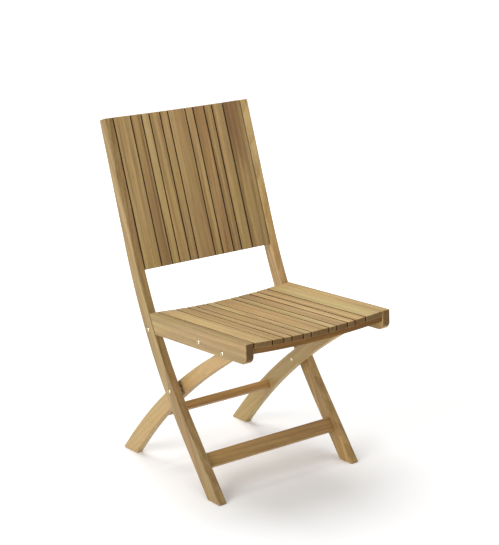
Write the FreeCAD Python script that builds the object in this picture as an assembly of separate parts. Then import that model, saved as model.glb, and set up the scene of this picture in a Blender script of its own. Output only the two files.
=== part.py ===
import FreeCAD
import Part
import math
import os

from FreeCAD import Vector

# A slatted teak folding chair. Millimetres, +Z up, the sitter faces -Y, X runs across.
# Side-view points are (y, z), with y counted from the scissor pivot until the very end,
# when the whole chair is centred over the origin.

# ---- overall sizes ----
CHAIR_WIDTH = 460.0
BACK_TOP_Z = 897.0

# ---- side frames: one bent upright on each side is front leg and back post ----
STILE_THICKNESS = 24.0
STILE_WIDTHS = (26.2, 38.0, 40.0)
STILE_UPPER_RAKE = 19.13
STILE_LOWER_RAKE = 38.28
STILE_BEND_Z = 345.5
STILE_BEND_RADIUS = 1480.0
STILE_ROUNDING = 2.5

# ---- rear legs: bowed, inboard of the uprights, crossing them at the scissor pivot ----
LEG_THICKNESS = 21.0
LEG_WIDTHS = (32.0, 41.0, 47.0)
LEG_FOOT_Y = 234.5
LEG_BEND = (71.0, 204.0)
LEG_BEND_RADIUS = 1570.0
LEG_ROUNDING = 2.5
LEG_STANDOFF = 11.0

# ---- pivots in the side view ----
SEAT_PIVOT = (-221.7, 402.0)
STAY_ON_STILE = (89.5, 383.6)
STAY_ON_RAIL = (-125.3, 406.2)

# ---- seat ----
SEAT_TILT = 2.93
RAIL_HEIGHT = 52.5
RAIL_BELOW_PIVOT = 10.4
RAIL_FRONT_OVERHANG = 95.6
RAIL_TO_STILE_GAP = 2.5
RAIL_ROUNDING = 3.0
RAIL_TOE_RADIUS = 20.0
SEAT_SLAT_THICKNESS = 14.0
SEAT_SLAT_REAR_TRIM = 2.0
SEAT_DISH = 8.0
SEAT_SLAT_STEP = 0.4

# ---- slats of seat and back share one pattern: wide, medium and narrow boards ----
SLAT_PATTERN = "WMNMNWNMNMW"
SLAT_MEDIUM = 32.0
SLAT_NARROW = 22.25
SLAT_GAP = 3.0
SLAT_ROUNDING = 1.6
SLAT_SEATING = 0.03

# ---- back ----
BACK_SLAT_THICKNESS = 11.0
BACK_SLAT_LENGTH = 397.0
BACK_DISH = 10.0
BACK_RAIL_THICKNESS = 13.0
BACK_RAIL_HEIGHT = 42.0
BACK_RAIL_DROPS = (42.0, 352.0)

# ---- cross members ----
FRONT_RUNG_Z = 84.0
FRONT_RUNG_SECTION = (18.0, 38.0)
REAR_RUNG_Y = 107.0
REAR_RUNG_SINK = 3.0
REAR_RUNG_SECTION = (22.0, 16.0)
TOP_RAIL_ROUNDING = 5.0
TOP_RAIL_CLEARANCE = 2.0
RUNG_ROUNDING = 2.5
TENON_LENGTH = 12.0
TENON_SHOULDER = 4.0

# ---- battens under the seat slats: u from the seat pivot, width, lowest level, end step ----
MIDDLE_BATTEN = (44.0, 22.0, 2.0)
REAR_BATTEN = (238.0, 22.0, 4.0)
BATTEN_STEP = (10.0, 18.0)

# ---- the front batten follows the dish, just behind the slats' front ends ----
FRONT_BATTEN_INSET = 4.6
FRONT_BATTEN_WIDTH = 19.0
FRONT_BATTEN_THICKNESS = 14.3

# ---- metal ----
PIVOT_RADIUS = 4.0
PIVOT_CLEARANCE = 0.08
HEAD_RADIUS = 5.6
HEAD_RISE = 2.4
NUT_RISE = 3.2
BUSH_RADIUS = 9.0
SIDE_CLEARANCE = 0.3
STAY_WIDTH = 15.0
STAY_THICKNESS = 4.0
STAY_FROM_STILE = 3.0
THIN_NUT = 2.6
BOSS_CLEARANCE = 0.5
STAY_PIN_RADIUS = 4.0
SCREW_RADIUS = 1.8
SCREW_HEAD_RADIUS = 3.6
SCREW_HEAD_THICKNESS = 2.4
SCREW_BITE = 8.0
SCREW_SINK = 0.2

# ---- places across the chair, from the outside in ----
OUTER_X = CHAIR_WIDTH / 2
INNER_X = OUTER_X - STILE_THICKNESS
LEG_OUTER_X = INNER_X - LEG_STANDOFF
LEG_INNER_X = LEG_OUTER_X - LEG_THICKNESS
STAY_OUTER_X = INNER_X - STAY_FROM_STILE
STAY_INNER_X = STAY_OUTER_X - STAY_THICKNESS
SIDES = (("left", -1), ("right", 1))


def side_view(y, z, x=0.0):
    return Vector(x, y, z)


class Bow:
    """A line, a long arc and a line: the centreline or one edge of a bent member."""

    def __init__(self, low, bend, high, radius):
        self.low = Vector(0, *low)
        self.bend = Vector(0, *bend)
        self.high = Vector(0, *high)
        self.down = (self.low - self.bend).normalize()
        self.up = (self.high - self.bend).normalize()
        half_turn = (math.pi - self.down.getAngle(self.up)) / 2
        reach = radius * math.tan(half_turn)
        inward = (self.down + self.up).normalize()
        self.low_tangent = self.bend + self.down * reach
        self.high_tangent = self.bend + self.up * reach
        self.centre = self.bend + inward * (radius / math.cos(half_turn))
        self.middle = self.centre - inward * radius

    def edges(self):
        return [
            Part.makeLine(self.low, self.low_tangent),
            Part.Arc(self.low_tangent, self.middle, self.high_tangent).toShape(),
            Part.makeLine(self.high_tangent, self.high),
        ]

    def at_height(self, z):
        """The point where the bow is at height z, and its direction there, upwards."""
        level = Part.makeLine(Vector(0, -5000, z), Vector(0, 5000, z))
        return self._crossing(level)

    def at_depth(self, y):
        """The point where the bow is at depth y, and its direction there, upwards."""
        plumb = Part.makeLine(Vector(0, y, -5000), Vector(0, y, 5000))
        return self._crossing(plumb)

    def _crossing(self, line):
        wire = Part.Wire(self.edges())
        point = wire.distToShape(line)[1][0][0]
        if (point - self.bend).dot(self.up) >= (self.high_tangent - self.bend).dot(self.up):
            return point, self.up
        if (point - self.bend).dot(self.down) >= (self.low_tangent - self.bend).dot(self.down):
            return point, self.down * -1
        spoke = point - self.centre
        along = Vector(1, 0, 0).cross(spoke).normalize()
        if along.z < 0:
            along = along * -1
        return point, along


def flat(vector):
    return (vector.y, vector.z)


def side_normal(direction):
    """A quarter turn in the side view: towards the rear from a member that runs upwards."""
    return Vector(0, direction.z, -direction.y)


def member_edges(low, bend, high, widths, radius):
    """The front and rear edges of a bent member that widens from top to floor."""
    centreline = Bow(low, bend, high, radius)
    lower_axis = centreline.down * -1
    upper_axis = centreline.up
    middle_axis = (lower_axis + upper_axis).normalize()
    spread = 1 / math.cos(lower_axis.getAngle(upper_axis) / 2)
    edges = []
    for side in (-1, 1):
        foot = centreline.low + Vector(0, side * widths[2] / 2 / abs(lower_axis.z), 0)
        knee = centreline.bend + side_normal(middle_axis) * (side * widths[1] / 2 * spread)
        head = centreline.high + side_normal(upper_axis) * (side * widths[0] / 2)
        edges.append(Bow(flat(foot), flat(knee), flat(head), radius))
    return centreline, edges[0], edges[1]


def extrude_across(wire, near_x, far_x):
    face = Part.Face(wire)
    face.translate(Vector(near_x, 0, 0))
    return face.extrude(Vector(far_x - near_x, 0, 0))


def rounded(solid, radius, edges=None):
    return solid.makeFillet(radius, solid.Edges if edges is None else edges)


def span(sign, first, second):
    """The two x values of a layer on one side, lowest first."""
    return sorted((sign * first, sign * second))


def rod(sign, y, z, from_x, to_x, radius):
    """A round bar across the chair between two distances from its middle."""
    near, far = span(sign, from_x, to_x)
    return Part.makeCylinder(radius, far - near, side_view(y, z, near), Vector(1, 0, 0))


def dome(sign, y, z, seat_x, radius, rise, outward):
    """A low button head that stands off a face; outward is +1 away from the middle."""
    direction = sign * outward
    base_x = sign * seat_x
    ball = (radius * radius + rise * rise) / (2 * rise)
    half_arc = math.asin(radius / ball) / 2
    foot = side_view(y, z, base_x)
    rim = side_view(y, z + radius, base_x)
    shoulder = side_view(y, z + ball * math.sin(half_arc),
                         base_x + direction * (rise - ball + ball * math.cos(half_arc)))
    crown = side_view(y, z, base_x + direction * rise)
    profile = [Part.makeLine(foot, rim), Part.Arc(rim, shoulder, crown).toShape(),
               Part.makeLine(crown, foot)]
    return Part.Face(Part.Wire(profile)).revolve(foot, Vector(1, 0, 0), 360)


def posed(shape, pitch, y, z):
    """Leans a piece built upright at the origin back by pitch and sets it in the side view."""
    placed = shape.copy()
    placed.rotate(Vector(0, 0, 0), Vector(1, 0, 0), -pitch)
    placed.translate(side_view(y, z))
    return placed


def block(x0, x1, y0, y1, z0, z1):
    return Part.makeBox(x1 - x0, y1 - y0, z1 - z0, Vector(x0, y0, z0))


# ---- lines of the frame ----
LEG_CENTRE, LEG_LOWER, LEG_UPPER = member_edges(
    (LEG_FOOT_Y, 0.0), LEG_BEND, SEAT_PIVOT, LEG_WIDTHS, LEG_BEND_RADIUS
)
SCISSOR_Z = LEG_CENTRE.at_depth(0.0)[0].z


def stile_points(bend_y):
    foot = (bend_y - STILE_BEND_Z * math.tan(math.radians(STILE_LOWER_RAKE)), 0.0)
    rise = BACK_TOP_Z - STILE_BEND_Z
    head = (bend_y + rise * math.tan(math.radians(STILE_UPPER_RAKE)), BACK_TOP_Z)
    return foot, (bend_y, STILE_BEND_Z), head


def stile_through_pivot():
    trial = Bow(*stile_points(0.0), STILE_BEND_RADIUS)
    return -trial.at_height(SCISSOR_Z)[0].y


STILE_CENTRE, STILE_FRONT, STILE_REAR = member_edges(
    *stile_points(stile_through_pivot()), STILE_WIDTHS, STILE_BEND_RADIUS
)
BACK_PITCH = math.degrees(math.atan2(STILE_FRONT.up.y, STILE_FRONT.up.z))
BACK_HEAD = STILE_FRONT.high


def slat_layout(clear_width):
    """(centre x, width) of each slat across a clear width; the wide boards take up the rest."""
    fixed = {"M": SLAT_MEDIUM, "N": SLAT_NARROW}
    taken = sum(fixed.get(kind, 0.0) for kind in SLAT_PATTERN)
    taken += SLAT_GAP * (len(SLAT_PATTERN) + 1)
    fixed["W"] = (clear_width - taken) / SLAT_PATTERN.count("W")
    places = []
    edge = -clear_width / 2 + SLAT_GAP
    for kind in SLAT_PATTERN:
        places.append((edge + fixed[kind] / 2, fixed[kind]))
        edge += fixed[kind] + SLAT_GAP
    return places


def dish_radius(dish, half_width):
    return (half_width * half_width + dish * dish) / (2 * dish)


# ---- the dished line of seat and back: depth at x below the chord between the side members ----
def dish_depth(x, dish, below=0.0):
    """Depth of the dished line, or of the concentric line that runs below it."""
    radius = dish_radius(dish, INNER_X)
    return dish - radius + math.sqrt((radius + below) ** 2 - x * x)


def edge_dip(width, radius):
    """How far a flat board's edges dip past the round line that its middle touches."""
    return math.hypot(radius, width / 2 - SLAT_ROUNDING) - radius


def deepest_dip(radius):
    return max(edge_dip(width, radius) for _, width in slat_layout(2 * INNER_X))


def slat_support(dish, thickness):
    """From the dished line to the rail or batten that carries the boards' edges."""
    return thickness + deepest_dip(dish_radius(dish, INNER_X) + thickness) + SLAT_SEATING


def settling(width, dish, thickness):
    """How far a board of this width drops before its edges meet that rail or batten."""
    radius = dish_radius(dish, INNER_X) + thickness
    return deepest_dip(radius) - edge_dip(width, radius)


def dish_angle(x, dish):
    return math.degrees(math.asin(x / dish_radius(dish, INNER_X)))


# ---- root: the back frame ----
def make_stile(sign):
    front_foot, rear_foot = STILE_FRONT.low, STILE_REAR.low
    edges = STILE_FRONT.edges()
    edges.append(Part.makeLine(STILE_FRONT.high, STILE_REAR.high))
    edges += STILE_REAR.edges()
    edges.append(Part.makeLine(rear_foot, front_foot))
    wire = Part.Wire(Part.__sortEdges__(edges))
    return rounded(extrude_across(wire, *span(sign, INNER_X, OUTER_X)), STILE_ROUNDING)


def back_slat(x, width):
    front = settling(width, BACK_DISH, BACK_SLAT_THICKNESS)
    rear = front + BACK_SLAT_THICKNESS
    slat = block(-width / 2, width / 2, front, rear, -BACK_SLAT_LENGTH, 0)
    slat = rounded(slat, SLAT_ROUNDING)
    slat.rotate(Vector(0, 0, 0), Vector(0, 0, 1), -dish_angle(x, BACK_DISH))
    slat.translate(Vector(x, dish_depth(x, BACK_DISH), 0))
    return posed(slat, BACK_PITCH, *flat(BACK_HEAD))


def arc_wall(half_width, depths, drop, height):
    """A curved plank that stands behind the slats: depths are its front and rear at the ends."""
    front, rear = depths
    curves = [
        Part.Arc(*[Vector(x, dish_depth(x, BACK_DISH, below), 0)
                   for x in (-half_width, 0.0, half_width)]).toShape()
        for below in (front, rear)
    ]
    ends = [
        Part.makeLine(*[Vector(x, dish_depth(x, BACK_DISH, below), 0) for below in (front, rear)])
        for x in (-half_width, half_width)
    ]
    wire = Part.Wire(Part.__sortEdges__(curves + ends))
    plank = Part.Face(wire).extrude(Vector(0, 0, height))
    plank.translate(Vector(0, 0, -drop - height / 2))
    return plank


def back_rail_depths():
    front = slat_support(BACK_DISH, BACK_SLAT_THICKNESS)
    return front, front + BACK_RAIL_THICKNESS


def back_rail(drop):
    """A bowed rail with a stub tenon at each end; returns the rail and its tenons' shape."""
    front, rear = back_rail_depths()
    plank = arc_wall(INNER_X, (front, rear), drop, BACK_RAIL_HEIGHT)
    long_edges = [e for e in plank.Edges if e.Length > INNER_X]
    plank = rounded(plank, RUNG_ROUNDING, long_edges)
    tenon = block(
        -INNER_X - TENON_LENGTH, INNER_X + TENON_LENGTH,
        front + TENON_SHOULDER / 2, rear - TENON_SHOULDER / 2,
        -drop - BACK_RAIL_HEIGHT / 2 + TENON_SHOULDER,
        -drop + BACK_RAIL_HEIGHT / 2 - TENON_SHOULDER,
    )
    tenon = tenon.cut(block(-INNER_X, INNER_X, -500, 500, -2000, 2000))
    return (posed(plank.fuse(tenon).removeSplitter(), BACK_PITCH, *flat(BACK_HEAD)),
            posed(tenon, BACK_PITCH, *flat(BACK_HEAD)))


def rung(half_length, section, pitch, place, rounding=RUNG_ROUNDING, tenon=TENON_LENGTH):
    """A straight cross member with stub tenons; section is (depth, height) before it leans."""
    depth, height = section
    bar = block(-half_length, half_length, -depth / 2, depth / 2, -height / 2, height / 2)
    long_edges = [e for e in bar.Edges if e.Length > half_length]
    bar = rounded(bar, rounding, long_edges)
    stubs = block(
        -half_length - tenon, half_length + tenon,
        -depth / 2 + TENON_SHOULDER, depth / 2 - TENON_SHOULDER,
        -height / 2 + TENON_SHOULDER, height / 2 - TENON_SHOULDER,
    )
    stubs = stubs.cut(block(-half_length, half_length, -500, 500, -500, 500))
    return (posed(bar.fuse(stubs).removeSplitter(), pitch, *flat(place)),
            posed(stubs, pitch, *flat(place)))


def pitch_of(direction):
    return math.degrees(math.atan2(direction.y, direction.z))


def front_rung():
    place, along = STILE_CENTRE.at_height(FRONT_RUNG_Z)
    return rung(INNER_X, FRONT_RUNG_SECTION, pitch_of(along), place)


# ---- screws: head first, then the shank; direction is where the point goes ----
def screw(place, direction, length):
    head = Part.makeCylinder(SCREW_HEAD_RADIUS, SCREW_HEAD_THICKNESS, place, direction)
    shank = Part.makeCylinder(SCREW_RADIUS, length, place, direction)
    return head.fuse(shank).removeSplitter()


def back_screws():
    head_depth = back_rail_depths()[1] - SCREW_SINK
    length = BACK_RAIL_THICKNESS + SCREW_BITE
    screws = []
    for drop in BACK_RAIL_DROPS:
        for x, _ in slat_layout(2 * INNER_X):
            turn = math.radians(dish_angle(x, BACK_DISH))
            inward = Vector(-math.sin(turn), -math.cos(turn), 0)
            start = Vector(x, dish_depth(x, BACK_DISH), -drop) - inward * head_depth
            screws.append(posed(screw(start, inward, length), BACK_PITCH, *flat(BACK_HEAD)))
    return screws


# ---- rear legs ----
def make_leg(sign):
    tip = LEG_CENTRE.high + LEG_CENTRE.up * (LEG_WIDTHS[0] / 2)
    edges = LEG_LOWER.edges()
    edges.append(Part.Arc(LEG_LOWER.high, tip, LEG_UPPER.high).toShape())
    edges += LEG_UPPER.edges()
    edges.append(Part.makeLine(LEG_UPPER.low, LEG_LOWER.low))
    wire = Part.Wire(Part.__sortEdges__(edges))
    return rounded(extrude_across(wire, *span(sign, LEG_INNER_X, LEG_OUTER_X)), LEG_ROUNDING)


def rear_rung():
    place, along = LEG_CENTRE.at_depth(REAR_RUNG_Y)
    sunk = place + side_normal(along) * -REAR_RUNG_SINK
    return rung(LEG_INNER_X, REAR_RUNG_SECTION, pitch_of(along), sunk)


# ---- seat: built level with the seat pivot at the origin, u to the rear, v up ----
SEAT_TOP = RAIL_HEIGHT - RAIL_BELOW_PIVOT
SEAT_FRONT = -RAIL_FRONT_OVERHANG


def seat_point(u, v):
    """A seat point (u, v) in the chair's side view."""
    turn = math.radians(SEAT_TILT)
    return (SEAT_PIVOT[0] + u * math.cos(turn) + v * math.sin(turn),
            SEAT_PIVOT[1] - u * math.sin(turn) + v * math.cos(turn))


def in_seat(point):
    """A side-view point as the seat's (u, v)."""
    turn = math.radians(SEAT_TILT)
    y, z = point[0] - SEAT_PIVOT[0], point[1] - SEAT_PIVOT[1]
    return (y * math.cos(turn) - z * math.sin(turn),
            y * math.sin(turn) + z * math.cos(turn))


def on_seat(shape):
    return posed(shape, SEAT_TILT, *SEAT_PIVOT)


def rail_end(v):
    """Where the rail stops at level v: just short of the upright's front edge."""
    level = seat_point(300.0, v)[1]
    edge = STILE_FRONT.at_height(level)[0]
    return in_seat((edge.y - RAIL_TO_STILE_GAP, level))[0]


def make_rail(sign):
    low, high = -RAIL_BELOW_PIVOT, SEAT_TOP
    corners = [Vector(0, SEAT_FRONT, low), Vector(0, rail_end(low), low),
               Vector(0, rail_end(high), high), Vector(0, SEAT_FRONT, high)]
    wire = Part.makePolygon(corners + corners[:1])
    rail = extrude_across(wire, *span(sign, INNER_X, OUTER_X))
    toe = [e for e in rail.Edges
           if all(abs(v.Point.y - SEAT_FRONT) < 0.01 and abs(v.Point.z - low) < 0.01
                  for v in e.Vertexes)]
    rail = rounded(rail, RAIL_TOE_RADIUS, toe)
    return on_seat(rounded(rail, RAIL_ROUNDING))


def seat_slat(x, width):
    length = rail_end(SEAT_TOP) - SEAT_SLAT_REAR_TRIM - SEAT_FRONT
    top = -settling(width, SEAT_DISH, SEAT_SLAT_THICKNESS)
    slat = block(-width / 2, width / 2, SEAT_FRONT, SEAT_FRONT + length,
                 top - SEAT_SLAT_THICKNESS, top)
    slat = rounded(slat, SLAT_ROUNDING)
    slat.rotate(Vector(0, 0, 0), Vector(0, 1, 0), -dish_angle(x, SEAT_DISH))
    slat.translate(Vector(x, 0, SEAT_TOP - SEAT_SLAT_STEP - dish_depth(x, SEAT_DISH)))
    return on_seat(slat)


def seat_underside(x, drop=0.0):
    """The level at x of the battens' tops, or of a line that runs drop below them."""
    below = slat_support(SEAT_DISH, SEAT_SLAT_THICKNESS) + drop
    return SEAT_TOP - SEAT_SLAT_STEP - dish_depth(x, SEAT_DISH, below)


def top_rail():
    """The square rail between the leg tops turns under the slats as the chair folds."""
    reach = seat_underside(0.0) - TOP_RAIL_CLEARANCE
    side = math.sqrt(2) * (reach + (math.sqrt(2) - 1) * TOP_RAIL_ROUNDING)
    return rung(LEG_INNER_X, (side, side), pitch_of(LEG_CENTRE.up), LEG_CENTRE.high,
                rounding=TOP_RAIL_ROUNDING)


def dished_line(drop):
    """The battens' top line from rail to rail, lowered by drop."""
    return Part.Arc(*[Vector(x, 0, seat_underside(x, drop))
                      for x in (-INNER_X, 0.0, INNER_X)]).toShape()


def batten(start, width, low):
    """A cross batten with a flat base whose top follows the underside of the slats."""
    end = seat_underside(INNER_X)
    base = Part.makePolygon([Vector(INNER_X, 0, end), Vector(INNER_X, 0, low),
                             Vector(-INNER_X, 0, low), Vector(-INNER_X, 0, end)])
    wire = Part.Wire(Part.__sortEdges__([dished_line(0.0)] + base.Edges))
    bar = Part.Face(wire).extrude(Vector(0, width, 0))
    bar.translate(Vector(0, start, 0))
    return bar


def batten_tenons(start, width, low, high):
    stubs = block(-INNER_X - TENON_LENGTH, INNER_X + TENON_LENGTH,
                  start + TENON_SHOULDER, start + width - TENON_SHOULDER,
                  low + TENON_SHOULDER, high - TENON_SHOULDER)
    return stubs.cut(block(-INNER_X, INNER_X, -2000, 2000, -500, 500))


def through_batten(start, width, low):
    """A batten tenoned into both rails, its ends stepped up to clear the stays."""
    bar = batten(start, width, low)
    rise, length = BATTEN_STEP
    end_low = low + rise
    for sign in (-1, 1):
        near, far = span(sign, INNER_X - length, INNER_X)
        bar = bar.cut(block(near, far, start - 1, start + width + 1, low - 1, end_low))
    stubs = batten_tenons(start, width, end_low, seat_underside(INNER_X))
    return on_seat(bar.fuse(stubs).removeSplitter()), on_seat(stubs)


def front_batten():
    """The bowed batten that shows under the slats' front ends, tenoned into both rails."""
    start = SEAT_FRONT + FRONT_BATTEN_INSET
    end, low = seat_underside(INNER_X), seat_underside(INNER_X, FRONT_BATTEN_THICKNESS)
    ends = [
        Part.makeLine(Vector(side * INNER_X, 0, low), Vector(side * INNER_X, 0, end))
        for side in (-1, 1)
    ]
    curves = [dished_line(0.0), dished_line(FRONT_BATTEN_THICKNESS)]
    bar = Part.Face(Part.Wire(Part.__sortEdges__(curves + ends)))
    bar = bar.extrude(Vector(0, FRONT_BATTEN_WIDTH, 0))
    bar.translate(Vector(0, start, 0))
    stubs = batten_tenons(start, FRONT_BATTEN_WIDTH, low, end)
    return on_seat(bar.fuse(stubs).removeSplitter()), on_seat(stubs)


def seat_screw(x, u, low):
    length = seat_underside(x) + SCREW_BITE - low
    return on_seat(screw(Vector(x, u, low), Vector(0, 0, 1), length))


def seat_screws():
    screws = []
    for x, _ in slat_layout(2 * INNER_X):
        front_low = seat_underside(x, FRONT_BATTEN_THICKNESS - SCREW_SINK)
        front_u = SEAT_FRONT + FRONT_BATTEN_INSET + FRONT_BATTEN_WIDTH / 2
        screws.append(seat_screw(x, front_u, front_low))
        for start, width, low in (MIDDLE_BATTEN, REAR_BATTEN):
            screws.append(seat_screw(x, start + width / 2, low + SCREW_SINK))
    return screws


# ---- metal pivots, one of each per side ----
def scissor_bolt(sign):
    y, z = 0.0, SCISSOR_Z
    inside = LEG_INNER_X - SIDE_CLEARANCE
    shank = rod(sign, y, z, inside, OUTER_X, PIVOT_RADIUS)
    return shank.fuse(dome(sign, y, z, OUTER_X, HEAD_RADIUS, HEAD_RISE, 1))


def scissor_nut(sign):
    return dome(sign, 0.0, SCISSOR_Z, LEG_INNER_X - SIDE_CLEARANCE, HEAD_RADIUS, NUT_RISE, -1)


def bush(sign, y, z):
    sleeve = rod(sign, y, z, LEG_OUTER_X + SIDE_CLEARANCE, INNER_X, BUSH_RADIUS)
    return sleeve.cut(rod(sign, y, z, LEG_OUTER_X, INNER_X, PIVOT_RADIUS))


def seat_bolt(sign):
    y, z = SEAT_PIVOT
    head_x = OUTER_X + SIDE_CLEARANCE
    shank = rod(sign, y, z, LEG_INNER_X - TENON_LENGTH, head_x, PIVOT_RADIUS)
    return shank.fuse(dome(sign, y, z, head_x, HEAD_RADIUS, HEAD_RISE, 1))


def seat_bush(sign):
    y, z = SEAT_PIVOT
    sleeve = rod(sign, y, z, LEG_OUTER_X, INNER_X - SIDE_CLEARANCE, BUSH_RADIUS)
    return sleeve.cut(rod(sign, y, z, LEG_OUTER_X, INNER_X, PIVOT_RADIUS))


def stay_bolt(sign):
    y, z = STAY_ON_RAIL
    inside = STAY_INNER_X - SIDE_CLEARANCE
    shank = rod(sign, y, z, inside, OUTER_X, PIVOT_RADIUS)
    return shank.fuse(dome(sign, y, z, OUTER_X, HEAD_RADIUS, HEAD_RISE, 1))


def stay_nut(sign):
    y, z = STAY_ON_RAIL
    inside = STAY_INNER_X - SIDE_CLEARANCE
    return rod(sign, y, z, inside - THIN_NUT, inside, HEAD_RADIUS)


def stay_washer(sign):
    y, z = STAY_ON_RAIL
    ring = rod(sign, y, z, STAY_OUTER_X + SIDE_CLEARANCE, INNER_X, BUSH_RADIUS)
    return ring.cut(rod(sign, y, z, STAY_OUTER_X, INNER_X, PIVOT_RADIUS))


def stile_stud(sign):
    """The stay's pivot on the upright: a button-headed stud whose boss faces the stay's eye."""
    y, z = STAY_ON_STILE
    shank = rod(sign, y, z, INNER_X, OUTER_X, PIVOT_RADIUS)
    boss = rod(sign, y, z, STAY_OUTER_X + BOSS_CLEARANCE, INNER_X, HEAD_RADIUS)
    return shank.fuse(boss).fuse(dome(sign, y, z, OUTER_X, HEAD_RADIUS, HEAD_RISE, 1))


def make_stay(sign):
    """A flat steel bar with a round eye at each end."""
    ends = [Vector(0, *STAY_ON_STILE), Vector(0, *STAY_ON_RAIL)]
    along = (ends[1] - ends[0]).normalize()
    side = side_normal(along) * (STAY_WIDTH / 2)
    tips = [ends[0] - along * (STAY_WIDTH / 2), ends[1] + along * (STAY_WIDTH / 2)]
    edges = [
        Part.makeLine(ends[0] + side, ends[1] + side),
        Part.Arc(ends[1] + side, tips[1], ends[1] - side).toShape(),
        Part.makeLine(ends[1] - side, ends[0] - side),
        Part.Arc(ends[0] - side, tips[0], ends[0] + side).toShape(),
    ]
    near, far = span(sign, STAY_INNER_X, STAY_OUTER_X)
    bar = extrude_across(Part.Wire(edges), near, far)
    loose = PIVOT_RADIUS + PIVOT_CLEARANCE
    bar = bar.cut(rod(sign, *STAY_ON_RAIL, STAY_INNER_X - 1, STAY_OUTER_X + 1, loose))
    return bar.cut(rod(sign, *STAY_ON_STILE, STAY_INNER_X - 1, STAY_OUTER_X + 1, STAY_PIN_RADIUS))


def stay_rivet(sign):
    y, z = STAY_ON_STILE
    head = rod(sign, y, z, STAY_INNER_X - THIN_NUT, STAY_INNER_X, HEAD_RADIUS)
    return head.fuse(rod(sign, y, z, STAY_INNER_X, STAY_OUTER_X, STAY_PIN_RADIUS))


# ---- assembly ----
def cut_all(shape, tools):
    for tool in tools:
        shape = shape.cut(tool)
    return shape


def drilled(shape, sign, place, from_x, to_x, radius):
    return shape.cut(rod(sign, *place, from_x, to_x, radius))


def build():
    nodes = {}
    scissor = (0.0, SCISSOR_Z)
    loose = PIVOT_RADIUS + PIVOT_CLEARANCE
    layout = slat_layout(2 * INNER_X)

    rails = [back_rail(drop) for drop in BACK_RAIL_DROPS]
    low_rung, low_stubs = front_rung()
    back_fixings = back_screws()
    for (name, sign) in SIDES:
        stile = make_stile(sign)
        stile = cut_all(stile, [low_stubs] + [stubs for _, stubs in rails])
        stile = drilled(stile, sign, scissor, INNER_X - 1, OUTER_X + 1, PIVOT_RADIUS)
        stile = drilled(stile, sign, STAY_ON_STILE, INNER_X - 1, OUTER_X + 1, PIVOT_RADIUS)
        nodes["stile_" + name] = stile
    nodes["front_rung"] = low_rung
    fixings = Part.makeCompound(back_fixings)
    for label, (rail, _) in zip(("upper", "lower"), rails):
        nodes["back_rail_" + label] = rail.cut(fixings)
    for number, (x, width) in enumerate(layout, 1):
        nodes["back_slat_%02d" % number] = back_slat(x, width).cut(fixings)
    nodes["back_screws"] = fixings

    back_rung, back_stubs = rear_rung()
    head_rail, head_stubs = top_rail()
    for (name, sign) in SIDES:
        leg = cut_all(make_leg(sign), [back_stubs, head_stubs])
        leg = drilled(leg, sign, scissor, LEG_INNER_X - 1, LEG_OUTER_X + 1, loose)
        leg = drilled(leg, sign, SEAT_PIVOT, LEG_INNER_X - 1, LEG_OUTER_X + 1, PIVOT_RADIUS)
        nodes["rear_leg_" + name] = leg
        head_rail = drilled(head_rail, sign, SEAT_PIVOT, LEG_INNER_X - TENON_LENGTH,
                            LEG_OUTER_X, PIVOT_RADIUS)
    nodes["rear_rung"] = back_rung
    nodes["leg_top_rail"] = head_rail

    front, front_stubs = front_batten()
    middle, middle_stubs = through_batten(*MIDDLE_BATTEN)
    rear, rear_stubs = through_batten(*REAR_BATTEN)
    seat_fixings = Part.makeCompound(seat_screws())
    for (name, sign) in SIDES:
        rail = cut_all(make_rail(sign), [front_stubs, middle_stubs, rear_stubs])
        rail = drilled(rail, sign, SEAT_PIVOT, INNER_X - 1, OUTER_X + 1, loose)
        rail = drilled(rail, sign, STAY_ON_RAIL, INNER_X - 1, OUTER_X + 1, PIVOT_RADIUS)
        nodes["seat_rail_" + name] = rail
    for number, (x, width) in enumerate(layout, 1):
        nodes["seat_slat_%02d" % number] = seat_slat(x, width).cut(seat_fixings)
    for label, bar in (("front", front), ("middle", middle), ("rear", rear)):
        nodes["seat_batten_" + label] = bar.cut(seat_fixings)
    nodes["seat_screws"] = seat_fixings

    pairs = {
        "scissor_bolts": scissor_bolt,
        "scissor_nuts": scissor_nut,
        "scissor_bushes": lambda sign: bush(sign, *scissor),
        "seat_pivot_bolts": seat_bolt,
        "seat_pivot_bushes": seat_bush,
        "stay_bolts": stay_bolt,
        "stay_nuts": stay_nut,
        "stay_washers": stay_washer,
        "stile_studs": stile_stud,
    }
    for name, make in pairs.items():
        nodes[name] = Part.makeCompound([make(sign) for _, sign in SIDES])
    for name, sign in SIDES:
        nodes["stay_" + name] = make_stay(sign)
        nodes["stay_rivet_" + name] = stay_rivet(sign)
    return nodes


def main():
    nodes = build()
    box = Part.makeCompound(list(nodes.values())).optimalBoundingBox(False, False)
    shift = -(box.YMin + box.YMax) / 2
    os.makedirs("parts", exist_ok=True)
    for name, shape in nodes.items():
        placed = shape.copy()
        placed.translate(Vector(0, shift, 0))
        placed.exportStep("parts/%s.step" % name)
    print("box", [round(v, 2) for v in (box.XLength, box.YLength, box.ZLength, box.ZMin)])
    print("shift", round(shift, 4), "scissor", round(SCISSOR_Z, 4))


main()
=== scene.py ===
"""Finishes a slatted teak folding chair: oiled wood board by board, turned metal pivots, stays and screws."""

import math
import random

import bmesh
import bpy
from mathutils import Euler, Matrix, Vector


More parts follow.
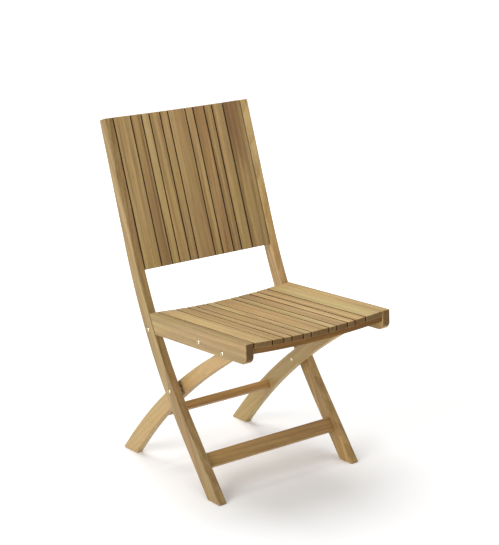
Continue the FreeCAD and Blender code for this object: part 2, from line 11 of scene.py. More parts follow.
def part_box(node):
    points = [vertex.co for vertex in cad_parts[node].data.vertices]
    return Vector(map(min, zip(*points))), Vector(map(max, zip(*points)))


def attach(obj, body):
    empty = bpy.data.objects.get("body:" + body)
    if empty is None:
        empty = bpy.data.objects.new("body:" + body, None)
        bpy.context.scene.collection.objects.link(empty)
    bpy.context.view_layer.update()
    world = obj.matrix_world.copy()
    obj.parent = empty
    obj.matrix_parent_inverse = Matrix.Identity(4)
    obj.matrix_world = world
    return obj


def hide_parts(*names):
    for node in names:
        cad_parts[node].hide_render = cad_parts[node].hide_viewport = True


bl_info = {
    "name": "Slatted folding chair",
    "version": (1, 0, 0),
    "blender": (4, 5, 0),
    "location": "View3D > Sidebar > Chair",
    "description": "Finishes a slatted teak folding chair and sets it in a studio",
    "category": "Object",
}

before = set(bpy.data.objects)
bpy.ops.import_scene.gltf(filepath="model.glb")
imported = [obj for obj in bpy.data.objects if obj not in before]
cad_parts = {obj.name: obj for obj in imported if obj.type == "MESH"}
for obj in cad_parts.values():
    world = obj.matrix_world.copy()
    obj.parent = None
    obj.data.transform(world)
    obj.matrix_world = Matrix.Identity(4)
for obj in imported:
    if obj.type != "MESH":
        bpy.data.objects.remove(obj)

MM = 0.001
SLAT_COUNT = 11

# Pivot bolts and nuts.
HEAD_RISE = 2.4 * MM
HEAD_STEPS = 7
SHANK_RADIUS = 4 * MM
TIP_CHAMFER = 0.4 * MM
SOCKET_LIP = 0.25 * MM
SOCKET_FLARE = 1.12
NUT_BEVEL = 0.35 * MM
NEAR = 0.001 * MM

# Painted shade on the slats' side faces, for the dark gaps between slats; how plain the legs' grain is; and
# bare wood's shine.
SLAT_PAINTED_GAP_SHADE = 0.92
LEG_FIGURE = 0.45
BARE_WOOD_SPECULAR = 0.06

# How far each run of boards leans back from upright in the side view, in degrees.
BACK_LEAN = 19.7
UPRIGHT_LEAN = 27.0
LEG_LEAN = -47.0
SEAT_LEAN = 92.93

# Camera and studio, in metres and degrees, in the chair's own frame.
CAMERA_PLACE = Vector((-2.53422, -3.24650, 1.70384))
CAMERA_BACK = Vector((-0.593929, -0.755349, 0.276942))
CAMERA_LENS = 110.74
CAMERA_SENSOR = 36.0
KEY_PLACE, KEY_SIZE = (-3.3, -0.5, 2.0), 2.2
TOP_PLACE, TOP_SIZE = (0.2, 0.9, 3.4), 2.6
LIGHT_AIM = Vector((0, 0, 0.45))

# The floor glows from the first radius on and is fully bright at the second.
GLOW_RADII = (0.6, 2.6)
GLOW_STRENGTHS = (0.12, 0.8)
FLOOR_HALF = 40

# Boards differ: each is (lightness, warmth) about the plain oiled teak, -1 to 1.
# The back's boards are all set darker than the seat's: painted shade for the back's weaker light, on top of
# each board's own tone.
BACK_TONES_WITH_PAINTED_SHADE = [(-0.3, 0.3), (-0.5, 0.5), (-0.25, 0.1), (-0.45, 0.4), (-0.3, 0.2), (-0.45, 0.4),
              (-0.25, 0.1), (-0.6, 0.5), (-0.3, 0.2), (-0.35, 0.1), (-0.5, 0.2)]
SEAT_TONES = [(0.3, -0.1), (-0.25, 0.5), (0.3, -0.2), (-0.2, 0.4), (0.2, -0.3), (0.05, 0.3),
              (0.1, -0.3), (-0.25, 0.4), (0.3, -0.2), (-0.1, 0.5), (0.35, -0.6)]

# Dark heartwood in single boards: (centre, reach along x y z in metres, strength).
HEART_STREAKS = {"back_slat_11": ((0.17, 0.25, 0.875), (0.032, 0.2, 0.15), 0.5)}


def as_linear(red, green, blue):
    """Screen colour, 0 to 255, as the linear colour a shader wants."""
    def channel(value):
        part = value / 255
        return part / 12.92 if part <= 0.04045 else ((part + 0.055) / 1.055) ** 2.4
    return (channel(red), channel(green), channel(blue), 1.0)


# ---- settings a user would change ----
class TeakSettings(bpy.types.PropertyGroup):
    light: bpy.props.FloatVectorProperty(
        name="Light wood", description="Colour of the pale early wood", subtype="COLOR",
        size=4, min=0, max=1, default=as_linear(193, 166, 112))
    dark: bpy.props.FloatVectorProperty(
        name="Dark wood", description="Colour of the darker late wood", subtype="COLOR",
        size=4, min=0, max=1, default=as_linear(130, 96, 50))
    pore: bpy.props.FloatVectorProperty(
        name="Pores", description="Colour of the fine open pores", subtype="COLOR",
        size=4, min=0, max=1, default=as_linear(60, 31, 9))
    heart: bpy.props.FloatVectorProperty(
        name="Heartwood", description="Colour of the dark heartwood in single boards",
        subtype="COLOR", size=4, min=0, max=1, default=as_linear(96, 52, 28))
    variety: bpy.props.FloatProperty(
        name="Board variety", description="How much boards differ from each other",
        min=0, max=1, default=1.0)
    ring_width: bpy.props.FloatProperty(
        name="Ring width", description="Distance between growth rings", unit="LENGTH",
        min=1 * MM, max=40 * MM, default=13 * MM)
    roughness: bpy.props.FloatProperty(
        name="Roughness", description="Satin of the oiled surface", min=0, max=1, default=0.52)


class MetalSettings(bpy.types.PropertyGroup):
    bright: bpy.props.FloatVectorProperty(
        name="Pivot metal", description="Colour of the domed pivot heads", subtype="COLOR",
        size=4, min=0, max=1, default=as_linear(228, 214, 180))
    plain: bpy.props.FloatVectorProperty(
        name="Plain steel", description="Colour of bushes, washers and screws", subtype="COLOR",
        size=4, min=0, max=1, default=as_linear(176, 174, 168))
    brass: bpy.props.FloatVectorProperty(
        name="Stay brass", description="Colour of the flat stays", subtype="COLOR",
        size=4, min=0, max=1, default=as_linear(206, 172, 104))
    socket: bpy.props.FloatProperty(
        name="Socket", description="Width across the flats of the hexagon socket",
        unit="LENGTH", min=1 * MM, max=8 * MM, default=5.4 * MM)
    socket_depth: bpy.props.FloatProperty(
        name="Socket depth", description="Depth of the hexagon socket", unit="LENGTH",
        min=0.5 * MM, max=4 * MM, default=2.4 * MM)


class StudioSettings(bpy.types.PropertyGroup):
    key: bpy.props.FloatProperty(
        name="Key light", description="Power of the large light at the sitter's right",
        subtype="POWER", min=0, default=78.0)
    top: bpy.props.FloatProperty(
        name="Top light", description="Power of the overhead softbox", subtype="POWER",
        min=0, default=90.0)
    sky: bpy.props.FloatProperty(
        name="Surround", description="Brightness of the white surround", min=0, default=0.35)
    floor: bpy.props.FloatVectorProperty(
        name="Floor", description="Colour of the pale floor", subtype="COLOR", size=4,
        min=0, max=1, default=(0.92, 0.92, 0.92, 1.0))


# ---- node helpers ----
class Sheet:
    """A node tree with short ways to add and join nodes."""

    def __init__(self, tree):
        self.tree = tree
        self.column = 0

    def add(self, kind, **settings):
        node = self.tree.nodes.new(kind)
        node.location = (self.column * 180, 0)
        self.column += 1
        for name, value in settings.items():
            setattr(node, name, value)
        return node

    def join(self, source, target):
        self.tree.links.new(source, target)

    def feed(self, socket, value):
        """Joins another node's output, or sets a plain value."""
        if isinstance(value, bpy.types.NodeSocket):
            self.join(value, socket)
        else:
            socket.default_value = value

    def maths(self, operation, first, second=0.0, clamp=False):
        node = self.add("ShaderNodeMath", operation=operation, use_clamp=clamp)
        self.feed(node.inputs[0], first)
        self.feed(node.inputs[1], second)
        return node.outputs[0]

    def vector_maths(self, operation, first, second):
        node = self.add("ShaderNodeVectorMath", operation=operation)
        self.feed(node.inputs[0], first)
        self.feed(node.inputs[1], second)
        return node.outputs[0]

    def noise(self, vector, scale, detail=2.0, roughness=0.5):
        node = self.add("ShaderNodeTexNoise", noise_dimensions="3D")
        self.join(vector, node.inputs["Vector"])
        node.inputs["Scale"].default_value = scale
        node.inputs["Detail"].default_value = detail
        node.inputs["Roughness"].default_value = roughness
        return node.outputs["Fac"]

    def spread(self, value, low, high, new_low=0.0, new_high=1.0):
        """Stretches a value's range from low..high to new_low..new_high, eased and clamped."""
        node = self.add("ShaderNodeMapRange", interpolation_type="SMOOTHSTEP")
        self.feed(node.inputs["Value"], value)
        for name, number in (("From Min", low), ("From Max", high),
                             ("To Min", new_low), ("To Max", new_high)):
            node.inputs[name].default_value = number
        return node.outputs["Result"]

    def mix(self, amount, first, second, blend="MIX"):
        node = self.add("ShaderNodeMix", data_type="RGBA", blend_type=blend)
        self.feed(node.inputs[0], amount)
        self.feed(node.inputs[6], first)
        self.feed(node.inputs[7], second)
        return node.outputs[2]


def make_group(name, inputs, outputs, fill):
    """A shader node group, built once: fill(sheet, ins, outs) adds its nodes."""
    if name in bpy.data.node_groups:
        return bpy.data.node_groups[name]
    tree = bpy.data.node_groups.new(name, "ShaderNodeTree")
    for label, kind in inputs:
        tree.interface.new_socket(label, in_out="INPUT", socket_type="NodeSocket" + kind)
    for label, kind in outputs:
        tree.interface.new_socket(label, in_out="OUTPUT", socket_type="NodeSocket" + kind)
    sheet = Sheet(tree)
    ins = sheet.add("NodeGroupInput").outputs
    outs = tree.nodes.new("NodeGroupOutput").inputs
    fill(sheet, ins, outs)
    return tree


def fill_teak_grain(sheet, ins, outs):
    """Straight-sawn teak whose grain runs along Z: rings, streaks, fine pores, end grain, and painted shade
    on the side faces.
    """
    long = sheet.vector_maths("MULTIPLY", ins["Vector"], (1.0, 1.0, 0.09))
    drift = sheet.noise(long, 7.0, 2.0)
    wobble = sheet.add("ShaderNodeTexNoise", noise_dimensions="3D")
    sheet.join(long, wobble.inputs["Vector"])
    wobble.inputs["Scale"].default_value = 16.0
    wobble.inputs["Detail"].default_value = 3.0
    bend = sheet.vector_maths("MULTIPLY", wobble.outputs["Color"], (0.014, 0.014, 0.0))
    rings_at = sheet.vector_maths("ADD", long, bend)
    rings = sheet.add("ShaderNodeTexWave", wave_type="RINGS", rings_direction="Z",
                      wave_profile="SAW")
    sheet.join(rings_at, rings.inputs["Vector"])
    sheet.join(ins["Ring Scale"], rings.inputs["Scale"])
    rings.inputs["Distortion"].default_value = 1.2
    rings.inputs["Detail"].default_value = 2.0
    rings.inputs["Detail Scale"].default_value = 1.5
    ring = sheet.spread(rings.outputs["Fac"], 0.15, 1.0)

    fibre_at = sheet.vector_maths("MULTIPLY", ins["Vector"], (520.0, 520.0, 9.0))
    fibre = sheet.noise(fibre_at, 1.0, 3.0, 0.6)
    streak_at = sheet.vector_maths("MULTIPLY", ins["Vector"], (110.0, 110.0, 2.2))
    streak = sheet.noise(streak_at, 1.0, 2.0)
    pore_at = sheet.vector_maths("MULTIPLY", ins["Vector"], (1500.0, 1500.0, 55.0))
    pore = sheet.spread(sheet.noise(pore_at, 1.0, 1.0), 0.62, 0.74)

    figure = sheet.maths("MULTIPLY", ring, 0.24)
    figure = sheet.maths("ADD", figure, sheet.spread(drift, 0.35, 0.65, 0.0, 0.3))
    figure = sheet.maths("ADD", figure, sheet.spread(streak, 0.36, 0.64, 0.0, 0.3))
    figure = sheet.maths("ADD", figure, sheet.spread(fibre, 0.3, 0.7, -0.1, 0.18), clamp=True)
    figure = sheet.maths("MULTIPLY", figure, ins["Figure"])
    wood = sheet.mix(figure, ins["Light"], ins["Dark"])
    blush_at = sheet.vector_maths("MULTIPLY", ins["Vector"], (34.0, 34.0, 1.3))
    blush = sheet.spread(sheet.noise(blush_at, 1.0, 2.0), 0.4, 0.68)
    wood = sheet.mix(blush, wood, (1.04, 0.95, 0.93, 1.0), "MULTIPLY")
    straw = sheet.spread(sheet.noise(ins["Vector"], 5.0, 1.0), 0.42, 0.66)
    wood = sheet.mix(straw, wood, (1.0, 1.02, 0.9, 1.0), "MULTIPLY")
    wood = sheet.mix(sheet.maths("MULTIPLY", pore, 0.45), wood, ins["Pore"])

    split = sheet.add("ShaderNodeSeparateXYZ")
    sheet.join(ins["Facing"], split.inputs[0])
    end_face = sheet.spread(sheet.maths("ABSOLUTE", split.outputs["Z"]), 0.7, 0.95)
    end_dots = sheet.noise(sheet.vector_maths("MULTIPLY", ins["Vector"], (900.0, 900.0, 900.0)),
                           1.0, 2.0)
    end_wood = sheet.mix(sheet.spread(end_dots, 0.35, 0.65, 0.35, 0.8), ins["Dark"], ins["Pore"])
    colour = sheet.mix(sheet.maths("MULTIPLY", end_face, 0.82), wood, end_wood)

    rough = sheet.maths("ADD", sheet.spread(fibre, 0.25, 0.75, -0.06, 0.08), ins["Satin"])
    rough = sheet.maths("ADD", rough, sheet.maths("MULTIPLY", pore, 0.12), clamp=True)
    # Painted shade: side faces (along X after the turn) take the pore colour as the shadow in the gaps
    # between slats, and lose their oil sheen.
    side = sheet.spread(sheet.maths("ABSOLUTE", split.outputs["X"]), 0.6, 0.9)
    shade = sheet.maths("MULTIPLY", side, ins["Painted Side Shade"])
    colour = sheet.mix(shade, colour, ins["Pore"])
    dull = sheet.maths("MAXIMUM", shade, sheet.maths("MULTIPLY", end_face, 0.75))
    oil = sheet.maths("MULTIPLY", sheet.maths("SUBTRACT", 1.0, dull), ins["Oil"])
    depth = sheet.maths("SUBTRACT", sheet.maths("MULTIPLY", fibre, 0.5), pore)
    depth = sheet.maths("ADD", depth, sheet.maths("MULTIPLY", ring, 0.25))
    sheet.join(colour, outs["Color"])
    sheet.join(rough, outs["Roughness"])
    sheet.join(depth, outs["Height"])
    sheet.join(oil, outs["Oil"])


def teak_group():
    return make_group(
        "Teak grain",
        (("Vector", "Vector"), ("Facing", "Vector"), ("Light", "Color"), ("Dark", "Color"),
         ("Pore", "Color"), ("Ring Scale", "Float"), ("Satin", "Float"),
         ("Painted Side Shade", "Float"), ("Figure", "Float"), ("Oil", "Float")),
        (("Color", "Color"), ("Roughness", "Float"), ("Height", "Float"), ("Oil", "Float")),
        fill_teak_grain)


def fill_turned_metal(sheet, ins, outs):
    """Handled metal: soft smears, fine scratches and a little tarnish in patches."""
    smear = sheet.noise(ins["Vector"], 160.0, 3.0, 0.6)
    scratch_at = sheet.vector_maths("MULTIPLY", ins["Vector"], (600.0, 2600.0, 2600.0))
    scratch = sheet.noise(scratch_at, 1.0, 2.0)
    patch = sheet.spread(sheet.noise(ins["Vector"], 70.0, 4.0, 0.65), 0.45, 0.72)
    stained = sheet.mix(sheet.maths("MULTIPLY", patch, ins["Tarnish"]), ins["Color"],
                        ins["Stain"])
    rough = sheet.maths("ADD", sheet.spread(smear, 0.3, 0.7, -0.05, 0.08), ins["Polish"])
    rough = sheet.maths("ADD", rough, sheet.maths("MULTIPLY", patch, 0.14), clamp=True)
    sheet.join(stained, outs["Color"])
    sheet.join(rough, outs["Roughness"])
    sheet.join(scratch, outs["Height"])


def metal_group():
    return make_group(
        "Handled metal",
        (("Vector", "Vector"), ("Color", "Color"), ("Stain", "Color"), ("Tarnish", "Float"),
         ("Polish", "Float")),
        (("Color", "Color"), ("Roughness", "Float"), ("Height", "Float")),
        fill_turned_metal)


def shaded_material(name, group, bump_distance, bump_strength):
    """A material with one shared group wired to a Principled shader; returns its parts."""
    material = bpy.data.materials.new(name)
    material.use_nodes = True
    sheet = Sheet(material.node_tree)
    shader = material.node_tree.nodes["Principled BSDF"]
    effect = sheet.add("ShaderNodeGroup", node_tree=group)
    bump = sheet.add("ShaderNodeBump")
    bump.inputs["Distance"].default_value = bump_distance
    bump.inputs["Strength"].default_value = bump_strength
    sheet.join(effect.outputs["Color"], shader.inputs["Base Color"])
    sheet.join(effect.outputs["Roughness"], shader.inputs["Roughness"])
    sheet.join(effect.outputs["Height"], bump.inputs["Height"])
    sheet.join(bump.outputs["Normal"], shader.inputs["Normal"])
    return material, sheet, effect, shader


def shifted_colour(colour, lightness, warmth):
    """A wood colour made lighter or darker, and redder or yellower."""
    lift = 1 + 0.35 * lightness
    return (min(1, colour[0] * lift * (1 + 0.07 * warmth)),
            min(1, colour[1] * lift * (1 - 0.05 * warmth)),
            min(1, colour[2] * lift * (1 - 0.14 * warmth)), 1.0)


def teak(name, turn, centre, tone=(0.0, 0.0), side_shade=0.0, figure=1.0, oil=0.85):
    """Oiled teak for one board: grain turned onto Z, side faces darkened by painted shade, coated by oil."""
    settings = bpy.context.scene.chair_teak
    material, sheet, effect, shader = shaded_material("teak_" + name, teak_group(), 0.0002, 0.16)
    seed = random.Random(name)
    heart = (seed.uniform(-0.05, 0.05), seed.choice((-1, 1)) * seed.uniform(0.03, 0.09))
    lean = Euler((seed.uniform(-0.02, 0.02), seed.uniform(-0.02, 0.02), 0))
    rotation = (lean.to_matrix() @ turn.to_matrix()).to_euler()
    coordinates = sheet.add("ShaderNodeTexCoord")
    place = sheet.add("ShaderNodeMapping", vector_type="POINT")
    offset = Vector((heart[0], heart[1], seed.uniform(0, 3)))
    place.inputs["Rotation"].default_value = rotation
    place.inputs["Location"].default_value = offset - rotation.to_matrix() @ Vector(centre)
    facing = sheet.add("ShaderNodeMapping", vector_type="VECTOR")
    facing.inputs["Rotation"].default_value = turn
    sheet.join(coordinates.outputs["Object"], place.inputs["Vector"])
    sheet.join(coordinates.outputs["Normal"], facing.inputs["Vector"])
    sheet.join(place.outputs[0], effect.inputs["Vector"])
    sheet.join(facing.outputs[0], effect.inputs["Facing"])
    light, warm = (part * settings.variety for part in tone)
    effect.inputs["Light"].default_value = shifted_colour(settings.light, light, warm)
    effect.inputs["Dark"].default_value = shifted_colour(settings.dark, light, warm)
    effect.inputs["Pore"].default_value = settings.pore
    effect.inputs["Ring Scale"].default_value = math.pi / 10 / settings.ring_width
    effect.inputs["Satin"].default_value = settings.roughness
    effect.inputs["Painted Side Shade"].default_value = side_shade
    effect.inputs["Figure"].default_value = figure
    effect.inputs["Oil"].default_value = oil
    shader.inputs["Specular IOR Level"].default_value = BARE_WOOD_SPECULAR
    shader.inputs["Coat Roughness"].default_value = settings.roughness
    sheet.join(effect.outputs["Oil"], shader.inputs["Coat Weight"])
    if name in HEART_STREAKS:
        add_heart_streak(sheet, coordinates, effect, shader, *HEART_STREAKS[name])
    return material


def add_heart_streak(sheet, coordinates, effect, shader, centre, reach, strength):
    """A flame of dark heartwood round a point of one board, with wandering edges."""
    away = sheet.vector_maths("SUBTRACT", coordinates.outputs["Object"], centre)
    scaled = sheet.vector_maths("DIVIDE", away, reach)
    length = sheet.add("ShaderNodeVectorMath", operation="LENGTH")
    sheet.join(scaled, length.inputs[0])
    wander_at = sheet.vector_maths("MULTIPLY", coordinates.outputs["Object"], (70.0, 20.0, 9.0))
    wander = sheet.maths("MULTIPLY", sheet.noise(wander_at, 1.0, 4.0, 0.6), 0.9)
    edge = sheet.maths("ADD", length.outputs["Value"], wander)
    amount = sheet.spread(edge, 0.75, 1.55, strength, 0.0)
    heart = bpy.context.scene.chair_teak.heart
    colour = sheet.mix(amount, effect.outputs["Color"], heart)
    sheet.join(colour, shader.inputs["Base Color"])


def metal(name, colour, stain, tarnish, polish):
    """Bare metal in one colour, with its own amount of tarnish and polish."""
    material, sheet, effect, shader = shaded_material(name, metal_group(), 0.00004, 0.3)
    coordinates = sheet.add("ShaderNodeTexCoord")
    sheet.join(coordinates.outputs["Object"], effect.inputs["Vector"])
    effect.inputs["Color"].default_value = colour
    effect.inputs["Stain"].default_value = stain
    effect.inputs["Tarnish"].default_value = tarnish
    effect.inputs["Polish"].default_value = polish
    shader.inputs["Metallic"].default_value = 1.0
    return material


# ---- pieces ----
def upright_turn(lean):
    """Brings a grain that leans back from upright onto Z."""
    return Euler((math.radians(lean), 0, 0))


def across_turn():
    """Brings a grain that runs across the chair onto Z."""
    return Euler((0, math.radians(-90), 0))


def node_centre(node):
    low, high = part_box(node)
    return (Vector(low) + Vector(high)) / 2


def finish_node(node, material):
    """Gives a piece of the frame its finished material."""
    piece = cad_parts[node]
    piece.data.materials.clear()
    piece.data.materials.append(material)


def finish_board(node, turn, tone=(0.0, 0.0), **wood):
    finish_node(node, teak(node, turn, node_centre(node), tone, **wood))


def set_metal(nodes, material):
    for node in nodes:
        finish_node(node, material)


def piece_from(mesh_name, shape, material, body, replaced):
    """Turns a bmesh into a smooth-shaded piece that rides on a body and stands for a node."""
    bmesh.ops.recalc_face_normals(shape, faces=shape.faces)
    mesh = bpy.data.meshes.new(mesh_name)
    shape.to_mesh(mesh)
    shape.free()
    mesh.materials.append(material)
    mesh.polygons.foreach_set("use_smooth", [True] * len(mesh.polygons))
    mesh.set_sharp_from_angle(angle=math.radians(32))
    piece = bpy.data.objects.new(mesh_name, mesh)
    bpy.context.scene.collection.objects.link(piece)
    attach(piece, body)
    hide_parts(replaced)
    return piece


def bright_metal():
    settings = bpy.context.scene.chair_metal
    if "turned_nickel" not in bpy.data.materials:
        metal("turned_nickel", settings.bright, as_linear(150, 118, 72), 0.5, 0.26)
    return bpy.data.materials["turned_nickel"]


def plain_steel():
    settings = bpy.context.scene.chair_metal
    if "plain_steel" not in bpy.data.materials:
        metal("plain_steel", settings.plain, as_linear(120, 104, 84), 0.3, 0.36)
    return bpy.data.materials["plain_steel"]


def ring_of(shape, x, radius, sides, cuts):
    """A polygon of edges about the X axis, each side cut up to meet a rounder loop."""
    ring = bmesh.ops.create_circle(shape, segments=sides, radius=radius,
                                   matrix=Matrix.Translation((x, 0, 0))
                                   @ Matrix.Rotation(math.radians(90), 4, "Y"))
    sides_of_ring = list({edge for vertex in ring["verts"] for edge in vertex.link_edges})
    bmesh.ops.subdivide_edges(shape, edges=sides_of_ring, cuts=cuts)
    return [edge for edge in shape.edges
            if all(abs(end.co.x - x) < NEAR and end.co.yz.length < radius + NEAR
                   for end in edge.verts)]


def socket_bolt(head_x, tip_x, rim, rise, shank, socket, socket_depth):
    """A button head with a hexagon socket, and its shank, along +X from tip_x to head_x."""
    shape = bmesh.new()
    ball = (rim * rim + rise * rise) / (2 * rise)
    centre = head_x + rise - ball
    corner = socket / math.sqrt(3)
    mouth = corner * SOCKET_FLARE
    low, high = math.asin(mouth / ball), math.asin(rim / ball)
    outline = []
    for step in range(HEAD_STEPS):
        angle = low + (high - low) * step / HEAD_STEPS
        outline.append((centre + ball * math.cos(angle), ball * math.sin(angle)))
    outline += [(head_x, rim), (head_x, shank), (tip_x + TIP_CHAMFER, shank),
                (tip_x, shank - TIP_CHAMFER), (tip_x, 0.0)]
    points = [shape.verts.new((x, 0, radius)) for x, radius in outline]
    lines = [shape.edges.new(pair) for pair in zip(points, points[1:])]
    bmesh.ops.spin(shape, geom=points + lines, cent=(0, 0, 0), axis=(1, 0, 0),
                   dvec=(0, 0, 0), angle=math.tau, steps=36, use_merge=True)
    bmesh.ops.remove_doubles(shape, verts=shape.verts, dist=NEAR)
    lip = [edge for edge in shape.edges if edge.is_boundary]
    mouth_x = outline[0][0]
    hexagon = ring_of(shape, mouth_x - SOCKET_LIP, corner, 6, 5)
    bmesh.ops.bridge_loops(shape, edges=lip + hexagon)
    walls = bmesh.ops.extrude_edge_only(shape, edges=hexagon)
    floor_points = [part for part in walls["geom"] if isinstance(part, bmesh.types.BMVert)]
    floor_lines = [part for part in walls["geom"] if isinstance(part, bmesh.types.BMEdge)]
    bmesh.ops.translate(shape, verts=floor_points, vec=(-socket_depth, 0, 0))
    bmesh.ops.contextual_create(shape, geom=[e for e in floor_lines if e.is_boundary])
    return shape


def both_sides(shape, place):
    """Copies a shape made on the X axis to its pivot, and mirrors it to the other side."""
    bmesh.ops.translate(shape, verts=shape.verts, vec=(0, place.y, place.z))
    geometry = shape.verts[:] + shape.edges[:] + shape.faces[:]
    copied = bmesh.ops.duplicate(shape, geom=geometry)
    others = [part for part in copied["geom"] if isinstance(part, bmesh.types.BMVert)]
    bmesh.ops.scale(shape, verts=others, vec=(-1, 1, 1))
    return shape


def make_bolts(node, body, piece_name):
    """The pair of button-headed pivot bolts of one node, left and right."""
    settings = bpy.context.scene.chair_metal
    low, high = (Vector(corner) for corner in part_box(node))
    rim = (high.y - low.y) / 2
    shape = socket_bolt(high.x - HEAD_RISE, tip_of(node), rim, HEAD_RISE, SHANK_RADIUS,
                        settings.socket, settings.socket_depth)
    return piece_from(piece_name, both_sides(shape, node_centre(node)), bright_metal(), body,
                      node)


def tip_of(node):
    """How far in a pivot reaches: the smallest distance of its vertices from the middle."""
    return min(abs(vertex.co.x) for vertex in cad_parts[node].data.vertices)


def make_cap_nuts(node, body, piece_name):
    """Six-sided cap nuts on the inner faces of the legs."""
    low, high = (Vector(corner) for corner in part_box(node))
    radius = (high.y - low.y) / 2
    outer = high.x
    height = outer - tip_of(node)
    shape = bmesh.new()
    bmesh.ops.create_cone(
        shape, cap_ends=True, segments=6, radius1=radius, radius2=radius, depth=height * 0.6,
        matrix=Matrix.Translation((outer - height * 0.3, 0, 0))
        @ Matrix.Rotation(math.radians(90), 4, "Y"))
    bmesh.ops.bevel(shape, geom=shape.edges[:], offset=NUT_BEVEL, offset_type="OFFSET",
                    affect="EDGES", segments=2, profile=0.5, material=-1)
    bmesh.ops.create_uvsphere(
        shape, u_segments=24, v_segments=12, radius=radius * 0.78,
        matrix=Matrix.Translation((outer - height * 0.58, 0, 0))
        @ Matrix.Diagonal((height * 0.42 / (radius * 0.78), 1, 1, 1)))
    return piece_from(piece_name, both_sides(shape, node_centre(node)), bright_metal(), body,
                      node)


# ---- operators ----
class CHAIR_OT_uprights(bpy.types.Operator):
    """Finish the two bent uprights and the rung between them"""
    bl_idname = "chair.uprights"
    bl_label = "Uprights and front rung"

    def execute(self, context):
        # The left stile is set darker than the right: partly board tone, partly painted shade that tones down
        # its key-lit outer face.
        for node, tone in (("stile_left", (-0.7, 0.1)), ("stile_right", (0.25, 0.1))):
            finish_board(node, upright_turn(UPRIGHT_LEAN), tone)
        finish_board("front_rung", across_turn(), (-0.1, 0.9))
        return {"FINISHED"}


class CHAIR_OT_legs(bpy.types.Operator):
    """Finish the two rear legs and their cross members"""
    bl_idname = "chair.legs"
    bl_label = "Rear legs"

    def execute(self, context):
        for node, tone in (("rear_leg_left", (-0.15, 0.0)), ("rear_leg_right", (-0.15, -0.1))):
            finish_board(node, upright_turn(LEG_LEAN), tone, figure=LEG_FIGURE)
        finish_board("rear_rung", across_turn(), (-0.3, 1.4))
        finish_board("leg_top_rail", across_turn(), (-0.2, 0.3))
        return {"FINISHED"}


class CHAIR_OT_seat(bpy.types.Operator):
    """Finish the seat's rails, battens and slats"""
    bl_idname = "chair.seat"
    bl_label = "Seat"

    def execute(self, context):
        # The left seat rail is set darker than the right: partly board tone, partly painted shade that tones
        # down its key-lit outer face.
        for node, tone in (("seat_rail_left", (-0.8, 0.1)), ("seat_rail_right", (0.0, 0.1))):
            finish_board(node, upright_turn(SEAT_LEAN), tone)
        # The seat slats' side faces get painted shade, for the dark gaps between them.
        for number in range(SLAT_COUNT):
            finish_board("seat_slat_%02d" % (number + 1), upright_turn(SEAT_LEAN),
                         SEAT_TONES[number], side_shade=SLAT_PAINTED_GAP_SHADE)
        # The front batten is toned very dark: painted shade for its place under the seat's front edge, with
        # somewhat darker wood; it has no oil coat.
        finish_board("seat_batten_front", across_turn(), (-1.7, 2.2), oil=0.0)
        for label in ("middle", "rear"):
            finish_board("seat_batten_" + label, across_turn(), (-0.1, 0.1))
        return {"FINISHED"}


class CHAIR_OT_back(bpy.types.Operator):
    """Finish the back's slats and the rails behind them"""
    bl_idname = "chair.back"
    bl_label = "Back"

    def execute(self, context):
        # The back slats' side faces get painted shade, for the dark gaps between them.
        for number in range(SLAT_COUNT):
            finish_board("back_slat_%02d" % (number + 1), upright_turn(BACK_LEAN),
                         BACK_TONES_WITH_PAINTED_SHADE[number], side_shade=SLAT_PAINTED_GAP_SHADE)
        for label in ("upper", "lower"):
            finish_board("back_rail_" + label, across_turn(), (0.0, 0.1))
        return {"FINISHED"}


class CHAIR_OT_pivots(bpy.types.Operator):
    """Turn the button-headed pivot bolts and their cap nuts"""
    bl_idname = "chair.pivots"
    bl_label = "Pivots"

    def execute(self, context):
        for node, body in (("scissor_bolts", "back_frame"), ("stile_studs", "back_frame"),
                           ("seat_pivot_bolts", "rear_leg_frame"), ("stay_bolts", "seat")):
            make_bolts(node, body, node + "_turned")
        make_cap_nuts("scissor_nuts", "back_frame", "scissor_cap_nuts")
        set_metal(("scissor_bushes", "seat_pivot_bushes", "stay_washers", "stay_nuts"),
                  plain_steel())
        return {"FINISHED"}


class CHAIR_OT_stays(bpy.types.Operator):
    """Finish the flat brass stays and their pins"""
    bl_idname = "chair.stays"
    bl_label = "Stays"

    def execute(self, context):
        brass = metal("aged_brass", context.scene.chair_metal.brass, as_linear(120, 88, 46),
                      0.45, 0.34)
        set_metal(("stay_left", "stay_right", "stay_rivet_left", "stay_rivet_right"), brass)
        return {"FINISHED"}


class CHAIR_OT_screws(bpy.types.Operator):
    """Finish the screws that hold the slats"""
    bl_idname = "chair.screws"
    bl_label = "Screws"

    def execute(self, context):
        set_metal(("back_screws", "seat_screws"), plain_steel())
        return {"FINISHED"}


class CHAIR_OT_studio(bpy.types.Operator):
    """Set the chair on a pale floor in soft light, with the camera"""
    bl_idname = "chair.studio"
    bl_label = "Studio"

    def execute(self, context):
        settings = context.scene.chair_studio
        make_floor(settings)
        area_light("key_light", KEY_PLACE, KEY_SIZE, settings.key)
        area_light("top_light", TOP_PLACE, TOP_SIZE, settings.top)
        world = bpy.data.worlds.new("surround")
        world.use_nodes = True
        surround = world.node_tree.nodes["Background"]
        surround.inputs["Color"].default_value = (1, 1, 1, 1)
        surround.inputs["Strength"].default_value = settings.sky
        context.scene.world = world
        context.scene.view_settings.view_transform = "Standard"
        make_camera(context.scene)
        return {"FINISHED"}


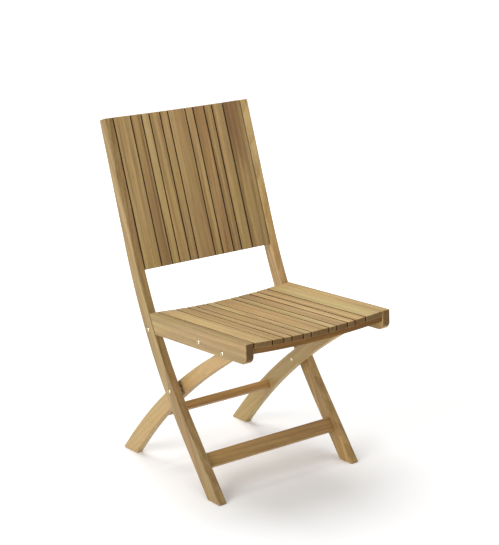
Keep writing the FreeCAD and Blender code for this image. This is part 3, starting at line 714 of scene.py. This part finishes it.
def make_floor(settings):
    """Pale paper with a painted glow that brightens it away from the chair, so that it has no far edge."""
    shape = bmesh.new()
    bmesh.ops.create_grid(shape, x_segments=1, y_segments=1, size=FLOOR_HALF)
    mesh = bpy.data.meshes.new("floor")
    shape.to_mesh(mesh)
    shape.free()
    material = bpy.data.materials.new("floor_paper")
    material.use_nodes = True
    shader = material.node_tree.nodes["Principled BSDF"]
    shader.inputs["Base Color"].default_value = settings.floor
    shader.inputs["Roughness"].default_value = 0.9
    shader.inputs["Specular IOR Level"].default_value = 0.1
    shader.inputs["Emission Color"].default_value = (1, 1, 1, 1)
    sheet = Sheet(material.node_tree)
    coordinates = sheet.add("ShaderNodeTexCoord")
    length = sheet.add("ShaderNodeVectorMath", operation="LENGTH")
    sheet.join(coordinates.outputs["Object"], length.inputs[0])
    glow = sheet.spread(length.outputs["Value"], *GLOW_RADII, *GLOW_STRENGTHS)
    sheet.join(glow, shader.inputs["Emission Strength"])
    mesh.materials.append(material)
    floor = bpy.data.objects.new("floor", mesh)
    bpy.context.scene.collection.objects.link(floor)


def area_light(name, place, size, power):
    """A square softbox that faces the chair."""
    lamp = bpy.data.lights.new(name, "AREA")
    lamp.shape = "SQUARE"
    lamp.size = size
    lamp.energy = power
    light = bpy.data.objects.new(name, lamp)
    light.location = place
    light.rotation_euler = (LIGHT_AIM - light.location).to_track_quat("-Z", "Y").to_euler()
    bpy.context.scene.collection.objects.link(light)


def make_camera(scene):
    lens = bpy.data.cameras.new("camera")
    lens.lens = CAMERA_LENS
    lens.sensor_width = CAMERA_SENSOR
    camera = bpy.data.objects.new("camera", lens)
    camera.location = CAMERA_PLACE
    camera.rotation_euler = (-CAMERA_BACK).to_track_quat("-Z", "Y").to_euler()
    scene.collection.objects.link(camera)
    scene.camera = camera


class CHAIR_PT_workshop(bpy.types.Panel):
    """The chair's sizes and colours, and the steps that make it"""
    bl_idname = "CHAIR_PT_workshop"
    bl_label = "Slatted folding chair"
    bl_space_type = "VIEW_3D"
    bl_region_type = "UI"
    bl_category = "Chair"

    def draw(self, context):
        for group in (context.scene.chair_teak, context.scene.chair_metal,
                      context.scene.chair_studio):
            box = self.layout.box()
            for name in group.bl_rna.properties.keys():
                if name not in ("rna_type", "name"):
                    box.prop(group, name)
        for operator in OPERATORS:
            self.layout.operator(operator.bl_idname)


OPERATORS = (CHAIR_OT_uprights, CHAIR_OT_legs, CHAIR_OT_seat, CHAIR_OT_back, CHAIR_OT_pivots,
             CHAIR_OT_stays, CHAIR_OT_screws, CHAIR_OT_studio)
CLASSES = (TeakSettings, MetalSettings, StudioSettings) + OPERATORS + (CHAIR_PT_workshop,)


def register():
    for item in CLASSES:
        bpy.utils.register_class(item)
    bpy.types.Scene.chair_teak = bpy.props.PointerProperty(type=TeakSettings)
    bpy.types.Scene.chair_metal = bpy.props.PointerProperty(type=MetalSettings)
    bpy.types.Scene.chair_studio = bpy.props.PointerProperty(type=StudioSettings)


def unregister():
    for name in ("chair_teak", "chair_metal", "chair_studio"):
        delattr(bpy.types.Scene, name)
    for item in reversed(CLASSES):
        bpy.utils.unregister_class(item)


def plain(bounds):
    return [[float(number) for number in corner] for corner in bounds]


def main():
    register()
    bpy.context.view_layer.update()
    bpy.ops.chair.uprights()
    bpy.ops.chair.legs()
    bpy.ops.chair.seat()
    bpy.ops.chair.back()
    bpy.ops.chair.pivots()
    bpy.ops.chair.stays()
    bpy.ops.chair.screws()
    bpy.ops.chair.studio()


if __name__ == "__main__":
    main()
